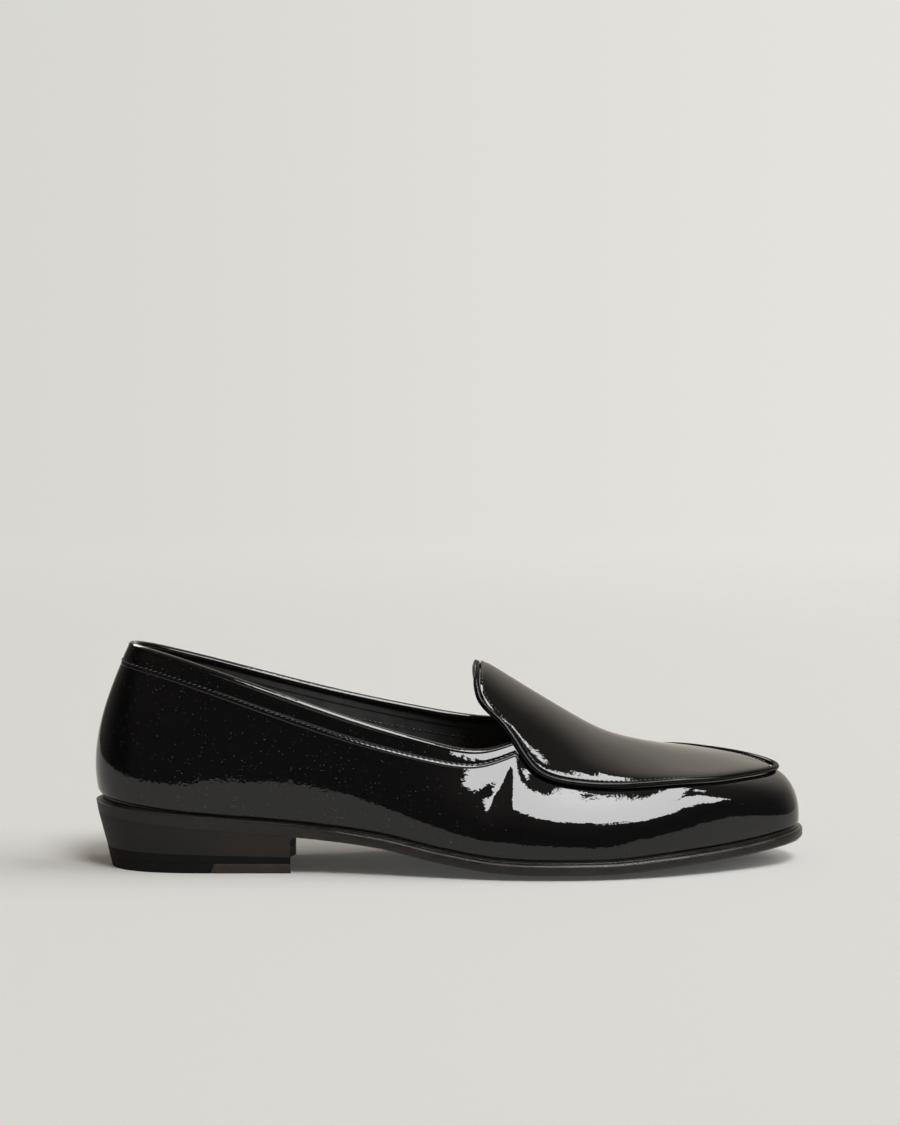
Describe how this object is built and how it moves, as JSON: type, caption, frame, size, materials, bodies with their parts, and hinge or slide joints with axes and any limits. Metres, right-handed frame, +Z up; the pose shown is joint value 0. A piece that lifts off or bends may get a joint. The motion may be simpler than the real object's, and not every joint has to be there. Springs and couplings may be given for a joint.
{
  "type": "patent leather loafer",
  "caption": "Right-foot slip-on loafer: hollow lasted upper with inset apron, standing rounded tongue, piped seam and folded topline, on a thin sole with a low tapered heel.",
  "frame": {"origin": "on the floor below the middle of the shoe's box", "axes": "+X to the toe, +Z up, the lateral side at -Y"},
  "size_m": [0.2912, 0.0995, 0.0928],
  "materials": {
    "upper_patent": "black patent, mirror gloss",
    "apron_patent": "black patent, mirror gloss",
    "band_patent": "black patent, folded and stitched",
    "piping": "black patent, rolled",
    "lining": "black grained lining, matte",
    "sole": "black dyed edge, satin",
    "heel": "brown-black dyed stack, matte",
    "lift_rubber": "black, matte",
    "tip_rubber": "black, matte",
    "tip_leather": "dark brown, matte"
  },
  "bodies": {
    "root": {"upper": "upper_patent", "apron": "apron_patent", "topline_band": "band_patent", "apron_piping": "piping", "insole": "lining", "outsole": "sole", "heel_stack": "heel", "heel_lift": "lift_rubber", "heel_tip_rear": "tip_rubber", "heel_tip_front": "tip_leather"}
  },
  "joints": []
}
